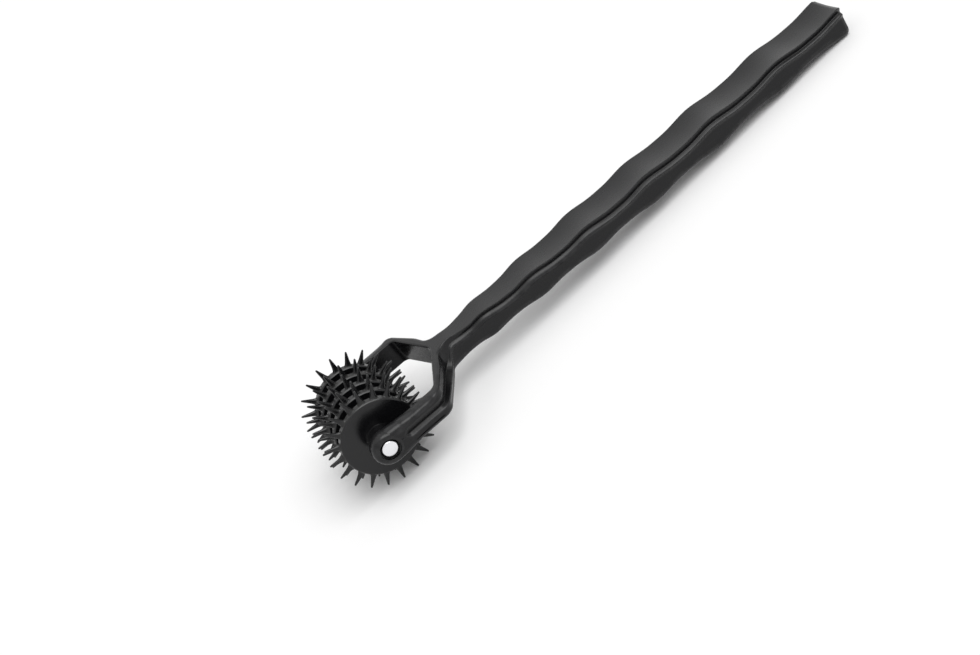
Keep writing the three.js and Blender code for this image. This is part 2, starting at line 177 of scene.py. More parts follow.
class RollerSizes(bpy.types.PropertyGroup):
    """Sizes of the spiked wheels."""

    pitch: length("Wheel pitch", "From one wheel's middle to the next", 5.8)
    spikes: bpy.props.IntProperty(name="Spikes", description="Spikes on each wheel", default=20)
    tip_radius: length("Tip radius", "From the axle to a spike's tip", 16.0)
    rim_radius: length("Rim radius", "From the axle to the rim", 11.5)
    rim_half_width: length("Rim half width", "Half the width of a rim", 1.2)
    rim_edge: length("Rim edge", "Bevel along a rim's edges", 0.3)
    hub_radius: length("Hub radius", "Hub that keeps two rims apart", 8.4)
    neck_radius: length("Neck radius", "Boss that keeps an end wheel off the fork", 4.0)
    boss_end: length("Boss end", "From the roller's middle to the end of a boss", 16.93)
    hub_gap: length("Hub gap", "Gap between two hubs", 0.3)
    core_radius: length("Core bore", "Hexagonal bore, over its corners", 6.5)
    wall: length("End wall", "Wall that closes an end wheel's bore", 1.4)
    bore_radius: length("Pin bore", "Bore for the pin in an end wall", 2.7)
    foot_radius: length("Spike foot", "Half length of a spike's foot along the rim", 1.65)
    shank_radius: length("Spike shank", "Half width of a spike over its foot", 0.95)
    tip_end_radius: length("Spike tip", "Radius of a spike's blunt tip", 0.3)
    flare_height: length("Spike flare", "Height of a spike's flared foot", 1.5)
    flatness: share("Spike flatness", "Thickness along the axle as a share of the width", 0.68)
    odd_turn: turn("Odd turn", "Turn of the first, third and fifth wheel", 0.6)
    even_turn: turn("Even turn", "Turn of the second and fourth wheel", 3.6)


class Finishes(bpy.types.PropertyGroup):
    """Colours and gloss of the pinwheel."""

    plastic: colour("Handle plastic", "Moulded plastic of the handle", (0.004, 0.004, 0.0045))
    plastic_worn: colour("Worn plastic", "Plastic rubbed lighter by use", (0.022, 0.022, 0.023))
    dust: colour("Dust", "Fine dust in grooves and at the spikes' feet", (0.035, 0.034, 0.032))
    plastic_roughness: share("Handle roughness", "Roughness of the handle's plastic", 0.27)
    plastic_ior: factor("Handle IOR", "Refraction index, low to mirror the room less", 1.36)
    wheel: colour("Wheel plastic", "Moulded plastic of the wheels", (0.0035, 0.0035, 0.004))
    wheel_roughness: share("Wheel roughness", "Roughness of the wheels' plastic", 0.2)
    wheel_ior: factor("Wheel IOR", "Refraction index of the wheels' plastic", 1.42)
    steel: colour("Steel", "Polished steel of the pin", (0.80, 0.80, 0.82))
    steel_roughness: share("Steel roughness", "Roughness of the pin", 0.2)


class StageSettings(bpy.types.PropertyGroup):
    """Floor, lamps and the camera of the stage."""

    floor_colour: colour("Floor", "Pale floor, as it lights the object", (0.80, 0.80, 0.80))
    floor_size: length("Floor size", "Side of the square floor", 12000.0)
    key_strength: factor("Key light", "Strength of the soft lamp over the handle", 1.9)
    fill_strength: factor("Fill light", "Strength of the soft lamp from above", 0.5)
    ambient: share("Ambient", "Light of the room from all sides", 0.42)
    camera_azimuth: turn("Camera azimuth", "Camera's turn about the handle's up direction", -4.72)
    camera_elevation: turn("Camera elevation", "Camera's height over the wide face", 30.86)
    camera_roll: turn("Camera roll", "Turn of the picture about the line of sight", 38.34)
    camera_distance: length("Camera distance", "From the camera to the axle, along its view", 386.8)
    lens: factor("Lens", "Focal length in millimetres on a 36 mm sensor", 50.72)


# Photograph's frame, and where the axle's centre lies in it
PHOTO_WIDTH, PHOTO_HEIGHT = 980, 655
AXLE_PIXEL_X, AXLE_PIXEL_Y = 367.0, 417.9
SENSOR_WIDTH = 36.0


# Points and faces

# A rounding takes up at most this share of either edge next to its corner
CUT_LIMIT = 0.8
# How far outside a rounding one more point lies, as a share of the cut
HOLD_SHARE = 0.12


def grid_quads(rows, columns, closed_rows=False, closed_columns=False):
    """Quads between neighbouring rows and columns of a grid of points, numbered row by row."""
    row = np.arange(rows if closed_rows else rows - 1)
    column = np.arange(columns if closed_columns else columns - 1)
    row, column = np.meshgrid(row, column, indexing="ij")
    next_row, next_column = (row + 1) % rows, (column + 1) % columns
    corners = [
        row * columns + column,
        row * columns + next_column,
        next_row * columns + next_column,
        next_row * columns + column,
    ]
    return np.stack(corners, axis=-1)


def smooth(x, start, end):
    """Rises from 0 at start to 1 at end as 3t squared minus 2t cubed, t being the way along."""
    t = np.clip((x - start) / (end - start), 0, 1)
    return t * t * (3 - 2 * t)


def mix(a, b, t):
    """The value a at t 0 and b at t 1, in a straight line."""
    return a + (b - a) * t


def eased(x, *stops):
    """The value at x between stops of (place, value), with a smooth step from each to the next."""
    value = stops[0][1]
    for (start, before), (end, after) in zip(stops, stops[1:]):
        value = value + (after - before) * smooth(x, start, end)
    return value


def side_by_side(x, values):
    """Numbers and arrays of values at the places x, as the columns of one array."""
    return np.stack([np.broadcast_to(value, x.shape) for value in values], axis=-1)


def arc(centre, radius, start, end, steps):
    """Points of a round bend in plan: centre plus radius times (cosine, sine) of its angles."""
    angle = np.linspace(start, end, steps + 1)
    return np.asarray(centre) + radius * np.column_stack([np.cos(angle), np.sin(angle)])


def straight(start, end, steps):
    """Points between two points in plan, both left out, in even steps."""
    t = np.linspace(0, 1, steps + 1)[1:-1, None]
    return mix(np.asarray(start), np.asarray(end), t)


def left_normals(line):
    """Unit normals of a line in plan: the chord between a point's neighbours, turned left."""
    ahead = np.vstack([line[1:], line[-1:]])
    behind = np.vstack([line[:1], line[:-1]])
    chord = ahead - behind
    chord /= np.linalg.norm(chord, axis=1, keepdims=True)
    return np.column_stack([-chord[:, 1], chord[:, 0]])


def rounded(corners, cuts, steps):
    """Rounds the corners of many open outlines at once. corners is (outlines, corners, 2).

    Each corner is cut off at a distance along both its edges and replaced by a parabola that
    touches both: (1-t)^2 of the first cut, 2t(1-t) of the corner and t^2 of the second. One more
    point on each side, a little further out, keeps the flat next to it flat.
    """
    middle = corners[:, 1:-1]
    to_before = corners[:, :-2] - middle
    to_after = corners[:, 2:] - middle
    before_length = np.linalg.norm(to_before, axis=-1, keepdims=True)
    after_length = np.linalg.norm(to_after, axis=-1, keepdims=True)
    cut = np.asarray(cuts)[..., None]
    back = (to_before / before_length * np.minimum(cut, CUT_LIMIT * before_length))[:, :, None]
    onward = (to_after / after_length * np.minimum(cut, CUT_LIMIT * after_length))[:, :, None]
    middle = middle[:, :, None]
    t = np.linspace(0, 1, steps + 1)[:, None]
    first, last = middle + back, middle + onward
    bend = (1 - t) ** 2 * first + 2 * t * (1 - t) * middle + t**2 * last
    points = np.concatenate([first + back * HOLD_SHARE, bend, last + onward * HOLD_SHARE], axis=2)
    return points.reshape(len(corners), -1, 2)


def revolved(profile, segments, first_angle=0.0):
    """A profile of (radius, y) turned about the axle: x is the radius times the sine of the angle
    from +Z, and z the radius times its cosine."""
    angle = first_angle + np.arange(segments) * 2 * math.pi / segments
    radius, y = np.asarray(profile)[:, 0], np.asarray(profile)[:, 1]
    x = np.sin(angle)[:, None] * radius
    z = np.cos(angle)[:, None] * radius
    return np.stack([x, np.broadcast_to(y, x.shape), z], axis=-1)


def welded(points, quads):
    """Gives points in one place one number. A quad that loses a corner turns into a triangle, and
    one that loses more goes. Returns the points, the quads, the triangles and each point's old
    number."""
    keys = np.round(points / WELD).astype(np.int64)
    _, first, new_number = np.unique(keys, axis=0, return_index=True, return_inverse=True)
    faces = new_number.reshape(-1)[quads]
    doubled = faces == np.roll(faces, -1, axis=1)
    opposite = (faces[:, 0] == faces[:, 2]) | (faces[:, 1] == faces[:, 3])
    whole = ~doubled.any(axis=1) & ~opposite
    reduced = (doubled.sum(axis=1) == 1) & ~opposite
    triangles = faces[reduced][~doubled[reduced]].reshape(-1, 3)
    return points[first], faces[whole], triangles, first


def outward(points, faces):
    """The faces, turned round if the volume inside them comes out negative. Each face adds the
    volumes of the pyramids from the origin to the triangles that it is cut into."""
    volume = 0.0
    for same_sided in faces:
        corner = points[same_sided]
        for k in range(1, corner.shape[1] - 1):
            cross = np.cross(corner[:, k], corner[:, k + 1])
            volume += np.einsum("ij,ij->", corner[:, 0], cross)
    return faces if volume > 0 else [f[:, ::-1] for f in faces]


def check_closed(name, points, faces):
    """Raises an error unless each edge lies between exactly two faces that run it opposite ways."""
    ways = []
    for f in faces:
        ways.append(np.stack([f, np.roll(f, -1, axis=1)], axis=-1).reshape(-1, 2))
    edges = np.concatenate(ways)
    forward, uses = np.unique(edges, axis=0, return_counts=True)
    backward = np.unique(edges[:, ::-1], axis=0)
    if uses.max() > 1:
        places = np.round(points[forward[uses > 1][:4, 0]] / MM, 3).tolist()
        raise RuntimeError(f"{name}: an edge is used twice at {places} mm")
    if not np.array_equal(forward, backward):
        raise RuntimeError(f"{name}: the surface isn't closed")


def make_mesh(name, points, quads, masks):
    """A closed mesh of the welded points, moved to the axle, with its masks as point attributes."""
    points, quads, triangles, first = welded(points, quads)
    faces = outward(points, [quads, triangles])
    check_closed(name, points, [f for f in faces if len(f)])
    mesh = bpy.data.meshes.new(name)
    mesh.from_pydata((points + AXLE).tolist(), [], [f for part in faces for f in part.tolist()])
    for mask, values in masks.items():
        attribute = mesh.attributes.new(mask, "FLOAT", "POINT")
        attribute.data.foreach_set("value", values[first].astype(np.float32))
    mesh.shade_smooth()
    return mesh


def turned_mesh(name, profile, segments, closed_profile, **masks):
    """A closed mesh of a profile turned about the axle, with masks given along the profile."""
    points = revolved(profile, segments).reshape(-1, 3)
    quads = grid_quads(segments, len(profile), True, closed_profile).reshape(-1, 4)
    tiled = {mask: np.tile(values, segments) for mask, values in masks.items()}
    return make_mesh(name, points, quads, tiled)


def add_object(name, data):
    """Puts a mesh, a lamp or a camera in the scene as an object."""
    thing = bpy.data.objects.new(name, data)
    bpy.context.scene.collection.objects.link(thing)
    return thing


def add_piece(name, mesh, material, body, nodes):
    """Puts a mesh in the scene as a piece that rides on a body and stands for CAD nodes."""
    mesh.set_sharp_from_angle(angle=SHARP_ANGLE)
    mesh.materials.append(material)
    piece = add_object(name, mesh)
    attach(piece, body)
    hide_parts(*nodes)


# Handle and fork

# Crests of the grip's waves and where they stop growing, from 0 at the neck to 1 at the butt
CREST_SHARES = np.array([-0.015, 0.076, 0.197, 0.334, 0.486, 0.655, 0.828, 1.0])
GROWN_SHARE = 0.655

# Between this place and the axle, half an arm's height grows to this share of the eye's radius
EYE_BLEND_END = 11 * MM
EYE_HEIGHT_SHARE = 0.96

# The arm starts on a circle inside the eye, whose radius is this share of the eye's
ARM_START_SHARE = 0.75

# Places along the lower face, and the shares of its two sags that it has there
SAG_PLACES = np.array([26, 34, 75, 95, 112, 135, 155]) * MM
LOWER_SAG_SHARES = np.array([0, 1, 1, 1, 1, 1, 0.3])
MIDDLE_SAG_SHARES = np.array([0, 0, 0, 1, 1, 0, 0])

# Points of a ring, as shares of the way across the faces and up the gap's wall, and the sizes of
# the smaller rings that close the ends
TOP_SHARES = (0.05, 0.2, 0.4, 0.6, 0.8, 0.95)
WALL_SHARES = (0.06, 0.35, 0.65, 0.94)
START_CAP_SHARES = (0.0, 0.6)
BUTT_CAP_SHARES = (0.75, 0.5, 0.25, 0.0)

# Steps on a rounding and along the lines in plan, and the longest step on the grip
EDGE_STEPS = 5
ARM_STEPS = (6, 10, 20)
BEND_STEPS = 12
SLANT_STEPS = 18
CROTCH_STEPS = 10
THROAT_STEPS = 20
GRIP_STEP = 0.6 * MM


def crest_places(size):
    """Where the crests of the grip's waves lie."""
    return size.neck_x + CREST_SHARES * (BUTT_X - size.neck_x)


def half_height(x, size):
    """Half the height of the fork and handle at x. On the fork it is level, and higher at the eyes.
    Behind the neck it swings between trough and crest as ((1 + cosine of the phase) / 2) to a
    power, and grows towards the butt."""
    crest_x = crest_places(size)
    right = np.clip(np.searchsorted(crest_x, x), 1, len(crest_x) - 1)
    phase = (x - crest_x[right - 1]) / (crest_x[right] - crest_x[right - 1])
    run = GROWN_SHARE * (BUTT_X - size.neck_x)
    grown = np.clip((x - size.neck_x) / run, 0, 1)
    trough = mix(size.first_trough, size.last_trough, grown)
    crest = mix(size.first_crest, size.last_crest, grown)
    rise = ((1 + np.cos(2 * math.pi * phase)) / 2) ** size.crest_sharpness
    arm = mix(EYE_HEIGHT_SHARE * size.eye_radius, size.arm_half_height, smooth(x, 0, EYE_BLEND_END))
    return mix(arm, mix(trough, crest, rise), smooth(x, size.crotch_x, size.neck_x))


def half_width(x, size):
    """Half the width behind the neck: it grows as t(3 - t)/2 up to the grip's full width."""
    t = np.minimum((x - size.neck_x) / (size.grip_full_x - size.neck_x), 1)
    return mix(size.neck_half_width, size.grip_half_width, t * (3 - t) / 2)


def arm_stations(size, bend_start):
    """Places along the straight arm, close together where the groove sinks in."""
    sunk = size.groove_start_x + size.groove_run
    places = (0, size.groove_start_x, sunk, bend_start)
    parts = [
        np.linspace(start, end, steps, endpoint=False)
        for start, end, steps in zip(places, places[1:], ARM_STEPS)
    ]
    return np.concatenate(parts)


def outer_line(size):
    """The outside of one half in plan: arm, round bend, slant, round throat and the grip's side."""
    bend_centre = (size.outer_bend_start, size.outer_half_width - size.outer_bend_radius)
    bend = arc(bend_centre, size.outer_bend_radius, QUARTER, QUARTER - size.outer_slant, BEND_STEPS)
    throat_centre = (size.neck_x, size.neck_half_width + size.throat_radius)
    throat_turn = (3 * QUARTER - size.outer_slant, 3 * QUARTER)
    throat = arc(throat_centre, size.throat_radius, *throat_turn, THROAT_STEPS)
    arm_x = arm_stations(size, size.outer_bend_start)
    arm = np.column_stack([arm_x, np.full_like(arm_x, size.outer_half_width)])
    grip_x = grip_stations(size)
    grip = np.column_stack([grip_x, half_width(grip_x, size)])
    return np.vstack([arm, bend, straight(bend[-1], throat[0], SLANT_STEPS), throat, grip])


def inner_line(size):
    """The inside of one half in plan: the gap's wall as far as the crotch, then the middle line."""
    inner_half = size.outer_half_width - size.arm_thickness
    bend_centre = (size.inner_bend_start, inner_half - size.inner_bend_radius)
    bend = arc(bend_centre, size.inner_bend_radius, QUARTER, QUARTER - size.inner_slant, BEND_STEPS)
    crotch_centre = (size.crotch_x - size.crotch_radius, 0)
    crotch = arc(crotch_centre, size.crotch_radius, QUARTER - size.inner_slant, 0, CROTCH_STEPS)
    arm_x = arm_stations(size, size.inner_bend_start)
    arm = np.column_stack([arm_x, np.full_like(arm_x, inner_half)])
    middle_x = np.linspace(size.crotch_x, size.neck_x, THROAT_STEPS - CROTCH_STEPS + 1)[1:]
    middle_x = np.concatenate([middle_x, grip_stations(size)])
    middle = np.column_stack([middle_x, np.zeros_like(middle_x)])
    return np.vstack([arm, bend, straight(bend[-1], crotch[0], SLANT_STEPS), crotch, middle])


def grip_stations(size):
    """Even places from just behind the neck to the start of the butt's bevel."""
    end = BUTT_X - size.butt_bevel_length
    steps = round((end - size.neck_x) / GRIP_STEP)
    return np.linspace(size.neck_x, end, steps + 1)[1:]


def lower_height(x, size):
    """How far the lower face lies under the middle: the half height and a sag along the grip, which
    is deepest along its middle."""
    sags = LOWER_SAG_SHARES * size.lower_sag + MIDDLE_SAG_SHARES * size.middle_sag
    return half_height(x, size) + eased(x, *zip(SAG_PLACES, sags))


# Side's outline: how far from the end of a bend or a climb a measure starts or ends its change
EDGE_RUN = 2 * MM  # rounding of the upper edge, on both sides of a bend and behind the lip's climb
DEPTH_LEAD = 1 * MM  # end of the groove's full depth at the throat
SHALLOW_LEAD = 2 * MM  # the groove is shallowest this far in front of the end of the lip's climb
DEPTH_RUN = 3 * MM  # the groove has its depth on the grip this far behind it
FLOOR_RUN = 4 * MM  # its floor has its height on the grip
LIP_EDGE_RUN = 6 * MM  # the lip has its full rounding
RIB_START = 2 * MM  # the throat's upper rib starts to stand back, behind the start of its climb
RIB_FULL = 1 * MM  # it stands fully back, behind the start of the lip's climb
RIB_RUN = 8 * MM  # it is level with the grip's side again
BODY_RUN = 9 * MM  # the throat's lower body stands out no more than the grip's lip

# Places along the grip between which the outline changes, as multiples of lip_level_x
ROUND_LIP_END = 0.6  # the lip's rounding starts to shrink
MIDDLE_START = 0.65  # the lip has its drop in the grip's middle
FLOOR_CHANGE = 0.8  # the groove's floor starts to sink
MIDDLE_END = 1.4  # the lip starts to rise again, and the lower edge to get rounder
BUTT_EDGE_FULL = 1.7  # the lower edge has its rounding at the butt
LAST_DROP_FULL = 1.8  # the lip has its last drop

# Where the groove's floor lies, from 0 at its upper edge to 1 at its lower edge
ARM_FLOOR, THROAT_FLOOR, LIP_FLOOR, NECK_FLOOR, GRIP_FLOOR = 0.75, 0.92, 0.85, 0.6, 0.7

# The groove's height where it starts, and its least depth, as shares of the full ones
START_OPENING = 0.15
SHALLOW_SHARE = 0.5

# How far the groove's rim lies under the wide face, as a multiple of the upper edge's rounding
RIM_SHARE = 1.35

# How far the outline reaches in over both faces, and how far the lip stands out on the grip
SIDE_REACH = 4.5 * MM
GRIP_OUTSET = 0.2 * MM

# Roundings of the lip where it starts, of the groove's rim, of its floor and of the hollow's top.
# The rim's is at most a share of the upper edge's.
FIRST_LIP_EDGE = 0.3 * MM
RIM_CUT = 0.12 * MM
RIM_CUT_SHARE = 0.2
FLOOR_CUT = 0.2 * MM
COVE_CUT = 0.5 * MM

# Corners of the outline that are rubbed, and that hold dust
WORN_CORNERS = (0, 3, 5)
DUSTY_CORNERS = (2,)


def upper_edge(x, size):
    """Rounding of the upper edge: wide on a straight arm, small on the slant, sharp on the grip."""
    bend = size.outer_bend_start
    return eased(
        x,
        (bend - EDGE_RUN, size.arm_edge),
        (bend + EDGE_RUN, size.slant_edge),
        (size.lip_start_x, size.slant_edge),
        (size.lip_end_x + EDGE_RUN, size.grip_edge),
    )


def groove_sunk(x, size):
    """0 where the groove starts beside the eye, and 1 from where it is fully sunk in."""
    return smooth(x, size.groove_start_x, size.groove_start_x + size.groove_run)


def groove_edges(x, size):
    """Heights of the groove's upper and lower edge. On the arm both are level. At the throat the
    upper one climbs to the wide face, and then the lower one climbs and goes on as the grip's lip.
    Where the groove starts, both lie close to the middle between them."""
    height, level = half_height(x, size), size.lip_level_x
    rim = height - RIM_SHARE * upper_edge(x, size)
    top = mix(size.groove_top, rim, smooth(x, size.climb_start_x, size.climb_end_x))
    throat = (size.crotch_x, size.groove_low_throat)
    on_arm = -eased(x, (size.outer_bend_start, size.groove_low), throat)
    drop = eased(
        x,
        (size.lip_end_x, size.lip_drop_neck),
        (MIDDLE_START * level, size.lip_drop_middle),
        (MIDDLE_END * level, size.lip_drop_middle),
        (LAST_DROP_FULL * level, size.lip_drop_grip),
    )
    lip = mix(on_arm, height - drop, smooth(x, size.lip_start_x, size.lip_end_x))
    middle = mix(top, lip, 0.5)
    opening = mix(START_OPENING, 1, groove_sunk(x, size))
    return mix(middle, top, opening), mix(middle, lip, opening)


def side_corners(x, size):
    """Corners of the side's outline at each place, as (depth inside the plan's outline, height). A
    groove runs along the arm's middle, climbs at the throat and follows the wide face's edge along
    the grip, where its lower edge is a lip over a slightly hollow side."""
    height, bottom = half_height(x, size), -lower_height(x, size)
    top, lip = groove_edges(x, size)
    bend, climb, level = size.outer_bend_start, size.climb_start_x, size.lip_level_x
    lip_start, lip_end = size.lip_start_x, size.lip_end_x
    depth = groove_sunk(x, size) * eased(
        x,
        (bend, size.arm_groove_depth),
        (climb, size.throat_groove_depth),
        (size.climb_end_x - DEPTH_LEAD, size.throat_groove_depth),
        (lip_end - SHALLOW_LEAD, SHALLOW_SHARE * size.grip_groove_depth),
        (lip_end + DEPTH_RUN, size.grip_groove_depth),
    )
    floor = eased(
        x,
        (bend, ARM_FLOOR),
        (climb, THROAT_FLOOR),
        (lip_start, LIP_FLOOR),
        (lip_end + FLOOR_RUN, NECK_FLOOR),
        (FLOOR_CHANGE * level, NECK_FLOOR),
        (level, GRIP_FLOOR),
    )
    inset = eased(
        x,
        (climb + RIB_START, 0),
        (lip_start + RIB_FULL, size.rib_inset),
        (lip_end, size.rib_inset),
        (lip_end + RIB_RUN, 0),
    )
    outset = eased(
        x,
        (bend, 0),
        (climb, size.lip_outset),
        (lip_end, size.lip_outset),
        (lip_end + BODY_RUN, GRIP_OUTSET),
    )
    cove = size.cove_depth * smooth(x, size.cove_start_x, size.cove_full_x)
    corners = [
        (SIDE_REACH, height),
        (inset, height),
        (inset, top),
        (depth, mix(top, lip, floor)),
        (-outset, lip),
        (cove, lip - size.cove_drop),
        (cove, bottom),
        (SIDE_REACH, bottom),
    ]
    return np.stack([side_by_side(x, corner) for corner in corners], axis=1)


def side_cuts(x, size):
    """How far the corners between the outline's two ends are cut back, from the upper edge down."""
    lip_end, level = size.lip_end_x, size.lip_level_x
    edge = upper_edge(x, size)
    lip_edge = eased(
        x,
        (size.lip_start_x, FIRST_LIP_EDGE),
        (lip_end + LIP_EDGE_RUN, size.lip_edge_neck),
        (ROUND_LIP_END * level, size.lip_edge_neck),
        (level, size.lip_edge_grip),
    )
    under_edge = eased(
        x,
        (size.outer_bend_start, size.arm_under_edge),
        (lip_end, size.grip_under_edge),
        (MIDDLE_END * level, size.grip_under_edge),
        (BUTT_EDGE_FULL * level, size.butt_under_edge),
    )
    rim_cut = np.minimum(RIM_CUT, RIM_CUT_SHARE * edge)
    return side_by_side(x, (edge, rim_cut, FLOOR_CUT, lip_edge, COVE_CUT, under_edge))


def fork_half(size):
    """One half of the fork and handle as rings of points, and the crotch's ring number.

    A ring starts at the top of the gap's wall, crosses the top face, goes down the side's outline,
    crosses the underside and climbs the wall. From the crotch on, the wall's points lie on the
    middle line.
    """
    outer, inner = outer_line(size), inner_line(size)
    outer_normal, inner_normal = left_normals(outer), left_normals(inner)
    crotch = int(np.argmax(np.abs(inner[:, 1]) < WELD))
    inner_normal[crotch] = (1, 0)
    x = outer[:, 0]
    height = half_height(x, size)[:, None]

    # Points inside the plan's outline lie at another x than it, and follow the waves there
    side = rounded(side_corners(x, size), side_cuts(x, size), EDGE_STEPS)
    depth, z = side[..., 0], side[..., 1]
    side_x = outer[:, :1] - outer_normal[:, :1] * depth
    side_y = outer[:, 1:] - outer_normal[:, 1:] * depth
    raised = z * half_height(side_x, size) / height
    lowered = z * lower_height(side_x, size) / lower_height(x, size)[:, None]
    side_z = np.where(z > 0, raised, lowered)
    side = np.stack([side_x, np.maximum(side_y, 0), side_z], axis=-1)

    # The gap's wall is rounded at its top and at its bottom
    angle = np.linspace(0, QUARTER, EDGE_STEPS + 1)
    radius = np.where(np.arange(len(inner)) <= crotch, size.inner_edge, 0.0)[:, None]
    back, down = radius * (1 - np.cos(angle)), radius * (1 - np.sin(angle))
    gap_x = inner[:, :1] + inner_normal[:, :1] * back
    gap_y = np.maximum(inner[:, 1:] + inner_normal[:, 1:] * back, 0)
    upper_gap = np.stack([gap_x, gap_y, half_height(gap_x, size) - down], axis=-1)
    lower_gap = np.stack([gap_x, gap_y, down - lower_height(gap_x, size)], axis=-1)[:, ::-1]

    across = np.array(TOP_SHARES)[:, None]
    top = mix(upper_gap[:, -1:], side[:, :1], across)
    top[..., 2] = half_height(top[..., 0], size)
    bottom = mix(side[:, -1:], lower_gap[:, :1], across)
    bottom[..., 2] = -lower_height(bottom[..., 0], size)
    wall = mix(lower_gap[:, -1:], upper_gap[:, :1], np.array(WALL_SHARES)[:, None])
    rings = np.concatenate([upper_gap, top, side, bottom, lower_gap, wall], axis=1)

    # The wide face is hollowed by a parabola across the grip, and its edges stay in place. The
    # hollow fades below the face with the fourth power of the height.
    bowl = np.maximum(1 - (rings[..., 1] / outer[:, 1:]) ** 2, 0)
    hollow = size.dish * smooth(outer[:, :1], size.crotch_x, size.lip_level_x) * bowl
    rings[..., 2] -= hollow * np.clip(rings[..., 2] / height, 0, 1) ** 4

    # The arm starts on a circle round the pin's hole, inside the eye
    start_radius = ARM_START_SHARE * size.eye_radius
    start_x = np.sqrt(np.maximum(start_radius**2 - rings[..., 2] ** 2, 0))
    rings[..., 0] += start_x * np.clip(1 - rings[..., 0] / size.groove_start_x, 0, 1)
    return rings, crotch


# Rounding of the butt's bevel at its two edges
BEVEL_CUT = 0.25 * MM
BEVEL_STEPS = 3


def butt_rings(last, size):
    """Rings behind the last one: a bevel with rounded edges, then smaller ones to close the end."""
    width, height = last[:, 1].max(), last[:, 2].max()
    run = size.butt_bevel_length
    bevel = np.array([[-2 * run, 0], [0, 0], [run, size.butt_bevel_depth], [run, width]])
    bevel = rounded(bevel[None], np.full((1, 2), BEVEL_CUT), BEVEL_STEPS)[0]
    bevel = bevel[bevel[:, 0] > 0]
    cap = np.array(BUTT_CAP_SHARES)
    behind = np.concatenate([bevel[:, 0], np.full(len(cap), run)])
    rings = np.repeat(last[None], len(behind), axis=0)
    rings[..., 0] += behind[:, None]
    for axis, extent in ((1, width), (2, height)):
        drawn = 1 - bevel[:, 1] / extent
        rings[..., axis] *= np.concatenate([drawn, drawn[-1] * cap])[:, None]
    return rings


def corner_mask(corners, count):
    """1 on the roundings of these corners of the side's outline, for one ring of points."""
    first = EDGE_STEPS + 1 + len(TOP_SHARES)
    per_corner = EDGE_STEPS + 3
    mask = np.zeros(count)
    for corner in corners:
        start = first + corner * per_corner
        mask[start + 1 : start + per_corner - 1] = 1
    return mask


def handle_mesh(size):
    """The fork and handle: both halves of rings, closed at each arm's start and at the butt."""
    rings, crotch = fork_half(size)
    count = rings.shape[1]
    first = rings[0]
    centre = np.array([first[:, 0].max(), first[:, 1].mean(), 0])
    start = np.stack([mix(centre, first, t) for t in START_CAP_SHARES])
    rings = np.concatenate([start, rings, butt_rings(rings[-1], size)])
    crotch += len(start)

    # Behind the crotch the wall has shrunk to the middle line, so its faces are left out
    quads = grid_quads(len(rings), count, closed_columns=True)
    column = np.arange(count)
    on_wall = (column < EDGE_STEPS) | (column >= count - EDGE_STEPS - len(WALL_SHARES) - 1)
    quads = np.concatenate([quads[:crotch].reshape(-1, 4), quads[crotch:, ~on_wall].reshape(-1, 4)])
    points = rings.reshape(-1, 3)
    all_points = np.concatenate([points, points * np.array([1, -1, 1])])
    all_quads = np.concatenate([quads, quads[:, ::-1] + len(points)])

    wear = np.tile(corner_mask(WORN_CORNERS, count), 2 * len(rings))
    dusty = np.tile(corner_mask(DUSTY_CORNERS, count), len(rings))
    recess = np.tile(dusty * groove_sunk(points[:, 0], size), 2)
    return make_mesh("handle", all_points, all_quads, {"wear": wear, "recess": recess})


# Eyes and pin

EYE_SEGMENTS = 128
PIN_SEGMENTS = 96
DOME_STEPS = 12

# Rings on the pin's shaft, as shares of half its length
SHAFT_SHARES = np.linspace(-0.855, 0.855, 7)

# Depth of the hole's mouth as a multiple of its width
MOUTH_DEPTH = 3

# How far the eye's corners are cut back, from the hole's inner end round to the mouth's floor. The
# third is the outer edge, whose size is eye_edge, and the last two are on the mouth's floor.
EYE_CUTS = (0.15 * MM, 0.35 * MM, 0, 0.1 * MM, 0.05 * MM, 0.05 * MM)
OUTER_CORNER = 2
MOUTH_CORNER = 4


def eye_mesh(size, side):
    """The round eye at an arm's end: a closed profile with rounded edges, turned about the axle."""
    inside = (size.outer_half_width - size.arm_thickness - size.eye_stand) * side
    outside = (size.outer_half_width + size.eye_stand) * side
    floor = outside - MOUTH_DEPTH * size.hole_mouth * side
    hole, mouth = size.hole_radius, size.hole_radius + size.hole_mouth
    radii = (hole, size.eye_radius, size.eye_radius, mouth, mouth, hole)
    loop = np.column_stack([radii, (inside, inside, outside, outside, floor, floor)])
    loop = np.vstack([loop[-1:], loop, loop[:1]])
    cuts = np.array(EYE_CUTS)
    cuts[OUTER_CORNER] = size.eye_edge
    profile = rounded(loop[None], cuts[None], EDGE_STEPS)[0]
    corner = np.arange(len(profile)) // (EDGE_STEPS + 3)
    masks = {"wear": (corner == OUTER_CORNER) * 1.0, "recess": (corner >= MOUTH_CORNER) * 1.0}
    return turned_mesh("eye", profile, EYE_SEGMENTS, True, **masks)


def pin_mesh(size):
    """The pin: a rod with domed ends. The dome's height falls as 1 minus the cosine of its turn."""
    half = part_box("axle_pin")[1].y
    angle = np.linspace(0, QUARTER, DOME_STEPS + 1)
    height = half - size.pin_dome * (1 - np.cos(angle))
    dome = np.column_stack([size.pin_radius * np.sin(angle), height])
    shaft = np.column_stack([np.full(len(SHAFT_SHARES), size.pin_radius), SHAFT_SHARES * half])
    profile = np.vstack([dome * [1, -1], shaft, dome[::-1]])
    return turned_mesh("axle_pin", profile, PIN_SEGMENTS, False)


# Spiked wheels

# Steps of a spike's cell along and across the rim, and of a rounding
RIM_STEPS = 6
ACROSS_STEPS = 2
WHEEL_EDGE_STEPS = 3
BORE_SIDES = 6

